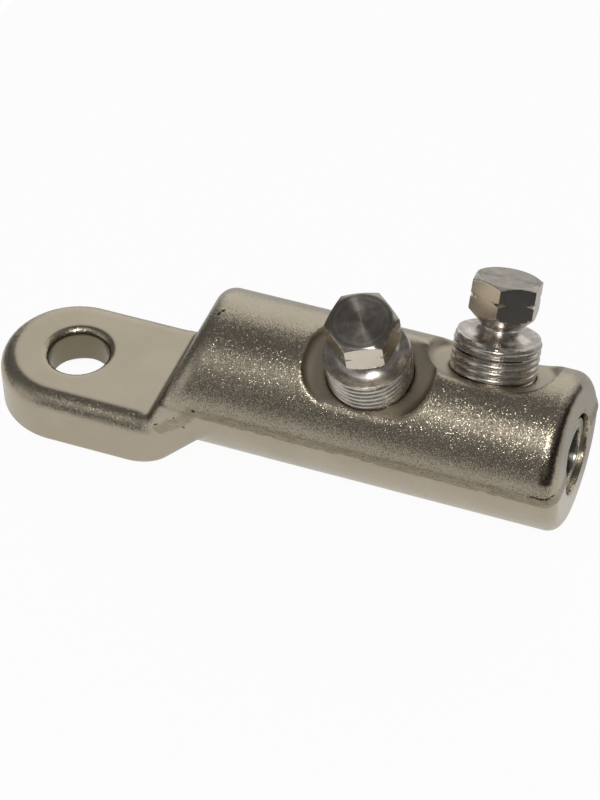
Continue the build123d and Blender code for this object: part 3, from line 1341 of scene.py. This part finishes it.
@dataclass
class ShearBolt:
    """A turned shear bolt along Z, measured in mm from the barrel's axis: point, thread, waist, hexagon."""

    place: BoltPlace
    foot: float = 5.3
    point_radius: float = 4.7
    shank_foot: float = 9.3
    collar: float = 21.2
    collar_radius: float = 8.5
    collar_height: float = 0.7
    collar_edge_radius: float = 0.15
    thread_radius: float = 8.9
    thread_depth: float = 0.55
    thread_pitch: float = 1.5
    bevel_drop: float = 0.5
    bevel_slope: float = 0.8
    shank_chamfer: float = 0.8
    point_edge_radius: float = 0.5
    waist_radius: float = 4.3
    waist_foot: float = 22.9
    waist_top: float = 23.3
    flare_radius: float = 4.2
    hex_half_width: float = 6.5
    hex_top: float = 33.1
    crown_radius: float = 6.25
    crown_angle: float = 30.0
    crown_edge_radius: float = 0.08
    top_edge_radius: float = 0.05
    notch_height: float = 29.4
    notch_depth: float = 0.8
    notch_half_height: float = 0.45
    gap_height: float | None = None
    gap_middle: float = 0.0
    gap_half_width: float = 0.34
    gap_narrowing: float = 0.28
    gap_depth: float = 1.2
    # Which flat is darkened, a painted dark reflection; None darkens none
    dark_flat_way: float | None = None
    dark_flat_fade: tuple[float, float] = (0.0, 0.1)
    overlap: float = 0.5
    flare_overlap: float = 0.3
    room_radius: float = 9.4
    room_ends: float = 0.6
    flat_reach: float = 0.03
    flat_foot: float = 0.3
    end_depth: float = 1.4
    mesher: SkinMesher = SkinMesher(cell=0.25)
    finish: Finish = field(default_factory=TurnedAluminium)
    end_finish: Finish = field(
        default_factory=lambda: TurnedAluminium(
            name="faced_aluminium_end",
            light_tone="#B5AEA4",
            dark_tone="#9C958B",
            ring_spacing=0.3,
            roughness=0.24,
            roughness_spread=0.03,
            anisotropy=0.97,
        )
    )
    flat_finish: Finish = field(default_factory=DrawnAluminium)

    def thread(self, points: Array, radius: Array) -> Array:
        """Distance to the threaded shank, one right-hand start.

        Args:
            points: Positions in millimetres.
            radius: Distances from the bolt's axis.

        Returns:
            Distance, negative inside.
        """
        x, y, z = points.T
        turn = np.arctan2(y, x) / (2.0 * math.pi)
        share = (z / self.thread_pitch - turn) % 1.0
        from_crest = 2.0 * np.abs(share - 0.5)
        # The crest is round: a circle's arc, which has come down by arc_height where the groove is deepest
        arc_share = 0.96
        arc_height = 0.8
        depth = (1.0 - np.sqrt(1.0 - arc_share * from_crest**2)) / arc_height * self.thread_depth
        # The flanks lean, so they are nearer than the radius says
        flank_share = 0.6
        face = (radius - self.thread_radius + depth) * flank_share
        if self.gap_height is not None:
            face = np.maximum(face, -self.gap(z, y, x, radius))
        top = rolled_corner(radius - self.collar_radius, z - self.collar, self.collar_edge_radius)
        # Length of the bevel's normal, by which its level becomes a distance
        bevel_length = 1.28
        drop = (z - self.collar + self.bevel_drop) * self.bevel_slope
        bevel = (radius - self.collar_radius + drop) / bevel_length
        lower = (radius - self.thread_radius + (self.shank_foot + self.shank_chamfer - z)) / math.sqrt(2.0)
        capped = np.maximum(np.maximum(face, bevel), z - self.collar)
        capped = np.maximum(capped, np.maximum(self.shank_foot - z, lower))
        collar = np.maximum(top, self.collar - self.collar_height - z)
        return np.minimum(capped, collar)

    def gap(self, z: Array, y: Array, x: Array, radius: Array) -> Array:
        """Distance to the wide gap where a crest of the thread is torn away.

        Args:
            z: Heights.
            y: Positions across.
            x: Positions along.
            radius: Distances from the bolt's axis.

        Returns:
            Distance, negative in the gap.
        """
        away = np.angle(np.exp(1j * (np.arctan2(y, x) - math.radians(self.gap_middle))))
        height = self.gap_height + self.thread_pitch * away / (2.0 * math.pi)
        width = self.gap_half_width - self.gap_narrowing * np.abs(away)
        return np.maximum(np.abs(z - height) - width, self.thread_radius - self.gap_depth - radius)

    def flare(self, radius: Array, z: Array) -> Array:
        """Distance to the waist and the trumpet-shaped flare that leads down to the collar.

        Args:
            radius: Distances from the bolt's axis.
            z: Heights.

        Returns:
            Distance, negative inside.
        """
        run = self.collar_radius - self.waist_radius
        rise = self.waist_foot - self.collar
        chord = math.hypot(run, rise)
        lift = math.sqrt(self.flare_radius**2 - chord**2 / 4.0) / chord
        centre_radius = (self.collar_radius + self.waist_radius) / 2.0 + lift * rise
        centre_height = (self.collar + self.waist_foot) / 2.0 + lift * run
        hollow = self.flare_radius - np.hypot(radius - centre_radius, z - centre_height)
        cone = np.maximum(hollow, np.maximum(z - self.waist_foot, radius - self.collar_radius))
        waist = np.maximum(radius - self.waist_radius, z - self.waist_top - self.overlap)
        return np.maximum(np.minimum(cone, waist), self.collar - self.flare_overlap - z)

    def flats(self, points: Array) -> Array:
        """Distance to the hexagon bar that the head is left from.

        Args:
            points: Positions in millimetres.

        Returns:
            Distance, negative inside.
        """
        # The ways that three of the flats face, opposite to the other three
        angles = np.radians((30.0, 90.0, 150.0))
        across = points[:, :2] @ np.stack([np.cos(angles), np.sin(angles)])
        return np.max(np.abs(across), axis=1) - self.hex_half_width

    def head(self, points: Array, radius: Array) -> Array:
        """Distance to the hexagon with its crown, skirt and break-off notch.

        Args:
            points: Positions in millimetres.
            radius: Distances from the bolt's axis.

        Returns:
            Distance, negative inside.
        """
        z = points[:, 2]
        flats = self.flats(points)
        corner = self.hex_half_width / math.cos(math.pi / 6.0)
        crown = math.radians(self.crown_angle)
        chamfer = (z - self.hex_top) * math.cos(crown) + (radius - self.crown_radius) * math.sin(crown)
        skirt = (radius - self.waist_radius - (z - self.waist_top)) / math.sqrt(2.0)
        nearness = 1.0 - np.abs(z - self.notch_height) / self.notch_half_height
        notch = corner - self.notch_depth * np.maximum(nearness, 0.0)
        form = rolled_corner(flats, chamfer, self.crown_edge_radius)
        form = rolled_corner(form, z - self.hex_top, self.top_edge_radius)
        form = np.maximum(form, (radius - notch) / math.sqrt(2.0))
        return np.maximum(np.maximum(form, skirt), self.waist_top - z)

    def distance(self, points: Array) -> Array:
        """Distance to the whole bolt.

        Args:
            points: Positions in millimetres.

        Returns:
            Distance, negative inside.
        """
        x, y, z = points.T
        radius = np.hypot(x, y)
        point = rolled_corner(radius - self.point_radius, self.foot - z, self.point_edge_radius)
        point = np.maximum(point, z - self.shank_foot - self.overlap)
        form = np.minimum(self.thread(points, radius), point)
        form = np.minimum(form, self.flare(radius, z))
        return np.minimum(form, self.head(points, radius))

    def build(self, axis_height: float) -> bpy.types.Object:
        """Mesh the bolt, put it in its place and dress it.

        Args:
            axis_height: Height of the barrel's axis.

        Returns:
            The finished piece.
        """
        low = (-self.room_radius, -self.room_radius, self.foot - self.room_ends)
        high = (self.room_radius, self.room_radius, self.hex_top + self.room_ends)
        name = f"turned_{self.place.node}"
        mesh = self.mesher.mesh(name, self.distance, low, high)
        place = self.place.matrix(axis_height)
        seated = place.copy()
        seated.translation = place.translation * MILLIMETRE
        mesh.transform(seated)
        mark_turning(mesh, place)
        piece = bpy.data.objects.new(name, mesh)
        bpy.context.scene.collection.objects.link(piece)
        for finish in (self.finish, self.end_finish, self.flat_finish):
            mesh.materials.append(finish.material())
        middles = np.empty(len(mesh.polygons) * 3, dtype=np.float32)
        mesh.polygons.foreach_get("center", middles)
        back = np.array(place.inverted())
        local = middles.reshape(-1, 3).astype(float) / MILLIMETRE @ back[:3, :3].T + back[:3, 3]
        on_flats = np.abs(self.flats(local)) < self.flat_reach
        flat = on_flats & (local[:, 2] > self.waist_top + self.flat_foot)
        top = (local[:, 2] > self.hex_top - self.end_depth) & ~flat
        turned, faced, drawn = range(len(mesh.materials))
        kinds = np.where(flat, drawn, np.where(top, faced, turned))
        mesh.polygons.foreach_set("material_index", kinds.astype(np.int32))
        # Darken the flat that faces this way: a painted dark reflection
        if self.dark_flat_way is not None:
            way = math.radians(self.dark_flat_way)
            at = mesh_points(mesh) @ back[:3, :3].T + back[:3, 3]
            reach = at[:, 0] * math.cos(way) + at[:, 1] * math.sin(way)
            mark_share(mesh, "dark_flat", faded(self.hex_half_width - reach, *self.dark_flat_fade))
        return piece


@dataclass
class CentringInsert:
    """The loose sleeve in the mouth: a full ring, then a long half-round trough. Sizes in mm."""

    axis_height: float = 12.4
    radius: float = 7.8
    bore_radius: float = 5.4
    front: float = 109.2
    back: float = 53.4
    ring_back: float = 101.2
    edge_radius: float = 0.3
    bore_edge_radius: float = 0.25
    trough_edge_radius: float = 0.15
    groove_pitch: float = 12.0
    groove_depth: float = 0.8
    room: float = 0.9
    mesher: SkinMesher = SkinMesher(cell=0.36)
    finish: Finish = field(
        default_factory=lambda: TurnedAluminium(
            name="turned_aluminium_sleeve", light_tone="#B9B5AD", dark_tone="#A09A8F"
        )
    )

    def distance(self, points: Array) -> Array:
        """Distance to the insert.

        Args:
            points: Positions in millimetres.

        Returns:
            Distance, negative inside.
        """
        x, y, z = points.T
        rise = z - self.axis_height
        radius = np.hypot(y, rise)
        ends = np.maximum(x - self.front, self.back - x)
        sleeve = rolled_corner(radius - self.radius, ends, self.edge_radius)
        half = self.groove_pitch / 2.0
        groove = half - np.abs((x - self.back) % self.groove_pitch - half)
        depth = np.maximum(self.groove_depth - groove, 0.0)
        between = (x > self.back + half) & (x < self.ring_back - half)
        deep = np.where(between, depth, 0.0)
        # The grooves' sides lean, so they are nearer than the radius says
        lean_share = 0.8
        bore = (self.bore_radius + deep - radius) * lean_share
        sleeve = rolled_corner(sleeve, bore, self.bore_edge_radius)
        above = np.minimum(rise, self.ring_back - x)
        return rolled_corner(sleeve, above, self.trough_edge_radius)

    def build(self) -> bpy.types.Object:
        """Mesh the insert and dress it.

        Returns:
            The finished piece.
        """
        low = (self.back - self.room, -self.radius - self.room, self.axis_height - self.radius - self.room)
        high = (self.front + self.room, self.radius + self.room, self.axis_height + self.radius + self.room)
        mesh = self.mesher.mesh("drawn_centring_insert", self.distance, low, high)
        lying = Matrix.Rotation(math.pi / 2.0, 4, "Y")
        mark_turning(mesh, Matrix.Translation((0.0, 0.0, self.axis_height)) @ lying)
        piece = bpy.data.objects.new("drawn_centring_insert", mesh)
        bpy.context.scene.collection.objects.link(piece)
        mesh.materials.append(self.finish.material())
        return piece


@dataclass
class Studio:
    """Plain pale floor, soft light and the camera of the photograph. Lengths in metres."""

    floor_height: float = -0.00632
    floor_reach: float = 1.5
    floor_front: float = 0.14
    floor_left: float = 0.075
    target: tuple[float, float, float] = (0.05036, 0.0, 0.0129)
    azimuth: float = 21.19
    elevation: float = 44.26
    roll: float = -0.96
    distance: float = 0.548
    sensor: float = 36.0
    focal_pixels: float = 2647.0
    picture_height: int = 800
    shift_right_pixels: float = 1.07
    shift_up_pixels: float = -15.92
    lamp_distance: float = 0.9
    lamps: tuple[Lamp, ...] = (Lamp("small_lamp", azimuth=24.0, elevation=51.0, size=0.28, watts=2.1),)
    room_level: float = 0.14
    # One tall panel behind the lug, then three in front of it, towards the palm
    panels: tuple[Panel, ...] = (
        Panel(180.0, 42.0, 0.0, 56.0, 7.0, 1.0),
        Panel(-52.0, 21.0, 12.0, 16.0, 8.0, 0.72),
        Panel(-50.0, 32.0, 40.0, 12.0, 6.0, 0.33),
        Panel(-6.0, 22.0, 54.0, 11.0, 7.0, 1.05),
    )

    def direction(self, azimuth: float, elevation: float) -> Vector:
        """Direction from the lug towards a place in front of it.

        Args:
            azimuth: Degrees from straight in front towards the mouth.
            elevation: Degrees above level.

        Returns:
            A unit vector.
        """
        a, e = math.radians(azimuth), math.radians(elevation)
        return Vector((math.sin(a) * math.cos(e), -math.cos(a) * math.cos(e), math.sin(e)))

    def build_floor(self) -> bpy.types.Object:
        """Lay the floor just under the palm.

        Returns:
            The floor.
        """
        left, right, front, back = -self.floor_left, self.floor_reach, -self.floor_front, self.floor_reach
        outline = ((left, front), (right, front), (right, back), (left, back))
        corners = [(x, y, self.floor_height) for x, y in outline]
        mesh = bpy.data.meshes.new("studio_floor")
        mesh.from_pydata(corners, [], [(0, 1, 2, 3)])
        floor = bpy.data.objects.new("studio_floor", mesh)
        bpy.context.scene.collection.objects.link(floor)
        mesh.materials.append(StudioFloor().material())
        return floor

    def build_world(self) -> None:
        """Light the room: dim, with soft-edged panels behind and in front, and white to the camera."""
        world = bpy.data.worlds.new("studio_room")
        bpy.context.scene.world = world
        world.use_nodes = True
        tree = world.node_tree
        tree.nodes.clear()
        look = add_node(tree, "ShaderNodeTexCoord")
        parts = add_node(tree, "ShaderNodeSeparateXYZ", links={0: look.outputs["Generated"]})
        front = add_node(
            tree, "ShaderNodeMath", {"operation": "MULTIPLY"}, {1: -1.0}, {0: parts.outputs["Y"]}
        )
        azimuth = add_node(
            tree,
            "ShaderNodeMath",
            {"operation": "ARCTAN2"},
            links={0: parts.outputs["X"], 1: front.outputs["Value"]},
        )
        elevation = add_node(tree, "ShaderNodeMath", {"operation": "ARCSINE"}, links={0: parts.outputs["Z"]})
        light = add_node(tree, "ShaderNodeValue")
        light.outputs[0].default_value = self.room_level
        for panel in self.panels:
            light = self._lay_panel(tree, light, azimuth, elevation, panel)
        path = add_node(tree, "ShaderNodeLightPath")
        room = add_node(
            tree, "ShaderNodeBackground", values={"Strength": 1.0}, links={"Color": light.outputs[0]}
        )
        white = add_node(
            tree, "ShaderNodeBackground", values={"Color": linear_colour("#FFFFFF"), "Strength": 1.0}
        )
        mixed = add_node(
            tree,
            "ShaderNodeMixShader",
            links={0: path.outputs["Is Camera Ray"], 1: room.outputs[0], 2: white.outputs[0]},
        )
        add_node(tree, "ShaderNodeOutputWorld", links={"Surface": mixed.outputs["Shader"]})

    @staticmethod
    def _lay_panel(
        tree: bpy.types.NodeTree,
        under: bpy.types.Node,
        azimuth: bpy.types.Node,
        elevation: bpy.types.Node,
        panel: Panel,
    ) -> bpy.types.Node:
        """Lay one panel over the room's light.

        Args:
            tree: Node tree of the world.
            under: Node whose first output is the light without the panel.
            azimuth: Node with the azimuth in radians.
            elevation: Node with the elevation in radians.
            panel: The panel.

        Returns:
            A node whose first output is the light with the panel.
        """
        turned = add_node(
            tree,
            "ShaderNodeMath",
            {"operation": "SUBTRACT"},
            {1: math.radians(panel.azimuth)},
            {0: azimuth.outputs["Value"]},
        )
        wrapped = add_node(
            tree,
            "ShaderNodeMath",
            {"operation": "WRAP"},
            {1: math.pi, 2: -math.pi},
            {0: turned.outputs["Value"]},
        )
        raised = add_node(
            tree,
            "ShaderNodeMath",
            {"operation": "SUBTRACT"},
            {1: math.radians(panel.elevation)},
            {0: elevation.outputs["Value"]},
        )
        shares = []
        for way, half in ((wrapped, panel.azimuth_half), (raised, panel.elevation_half)):
            away = add_node(
                tree, "ShaderNodeMath", {"operation": "ABSOLUTE"}, links={0: way.outputs["Value"]}
            )
            share = add_node(
                tree,
                "ShaderNodeMapRange",
                {"interpolation_type": "SMOOTHSTEP"},
                {
                    "From Min": math.radians(half - panel.edge),
                    "From Max": math.radians(half + panel.edge),
                    "To Min": 1.0,
                    "To Max": 0.0,
                },
                {"Value": away.outputs["Value"]},
            )
            shares.append(share.outputs["Result"])
        both = add_node(
            tree, "ShaderNodeMath", {"operation": "MULTIPLY"}, links={0: shares[0], 1: shares[1]}
        )
        return add_node(
            tree,
            "ShaderNodeMix",
            values={3: panel.level},
            links={0: both.outputs["Value"], 2: under.outputs[0]},
        )

    def build_lamps(self) -> None:
        """Hang the small lamp that the bolts and the forging's crystals glint in."""
        for lamp in self.lamps:
            data = bpy.data.lights.new(lamp.name, "AREA")
            data.shape = "DISK"
            data.size = lamp.size
            data.energy = lamp.watts
            hung = bpy.data.objects.new(lamp.name, data)
            bpy.context.scene.collection.objects.link(hung)
            towards = self.direction(lamp.azimuth, lamp.elevation)
            hung.location = Vector(self.target) + towards * self.lamp_distance
            hung.rotation_euler = towards.to_track_quat("Z", "Y").to_euler()

    def build_camera(self) -> None:
        """Set up the camera where the photograph was taken from."""
        data = bpy.data.cameras.new("photograph_camera")
        data.sensor_fit = "VERTICAL"
        data.sensor_height = self.sensor
        data.lens = self.focal_pixels / self.picture_height * self.sensor
        data.shift_x = self.shift_right_pixels / self.picture_height
        data.shift_y = self.shift_up_pixels / self.picture_height
        data.clip_start = 0.01
        camera = bpy.data.objects.new("photograph_camera", data)
        bpy.context.scene.collection.objects.link(camera)
        back = self.direction(self.azimuth, self.elevation)
        right = Vector((math.cos(math.radians(self.azimuth)), math.sin(math.radians(self.azimuth)), 0.0))
        up = back.cross(right)
        tilt = math.radians(self.roll)
        across = right * math.cos(tilt) + up * math.sin(tilt)
        upward = up * math.cos(tilt) - right * math.sin(tilt)
        turn = Matrix((across, upward, back)).transposed().to_4x4()
        camera.matrix_world = Matrix.Translation(Vector(self.target) + back * self.distance) @ turn
        bpy.context.scene.camera = camera

    def build(self) -> None:
        """Build the floor, the light and the camera."""
        self.build_floor()
        self.build_world()
        self.build_lamps()
        self.build_camera()
        bpy.context.scene.view_settings.view_transform = "Standard"


def report_piece(piece: bpy.types.Object, body: str) -> None:
    """Log a finished piece with its size.

    Args:
        piece: The piece.
        body: The body it rides on.
    """
    LOG.info("%s rides on %s with %d faces", piece.name, body, len(piece.data.polygons))


def main() -> None:
    """Build the lug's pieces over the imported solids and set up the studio."""
    logging.basicConfig(level=logging.INFO, format="%(name)s: %(message)s")
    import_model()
    places = (
        BoltPlace("palm_side_shear_bolt", "palm_side_bolt", reach=67.3, lean=-17.0, turn=21.4),
        BoltPlace("mouth_side_shear_bolt", "mouth_side_bolt", reach=90.2, lean=24.3, turn=33.5),
    )
    # The bolt at the mouth has a torn thread, and its front flat is darkened: a painted dark reflection
    wear_and_dark_flat = {"mouth_side_shear_bolt": {"gap_height": 18.3, "gap_middle": -128.0, "dark_flat_way": -90.0}}
    body = ForgedBody(bolts=places)
    forging = body.build()
    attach(forging, "lug")
    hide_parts("lug_body")
    report_piece(forging, "lug")
    for place in places:
        bolt = ShearBolt(place, **wear_and_dark_flat.get(place.node, {})).build(body.axis_height)
        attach(bolt, place.body)
        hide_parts(place.node)
        report_piece(bolt, place.body)
    sleeve = CentringInsert().build()
    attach(sleeve, "insert")
    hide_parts("centring_insert")
    report_piece(sleeve, "insert")
    Studio().build()


if __name__ == "__main__":
    main()
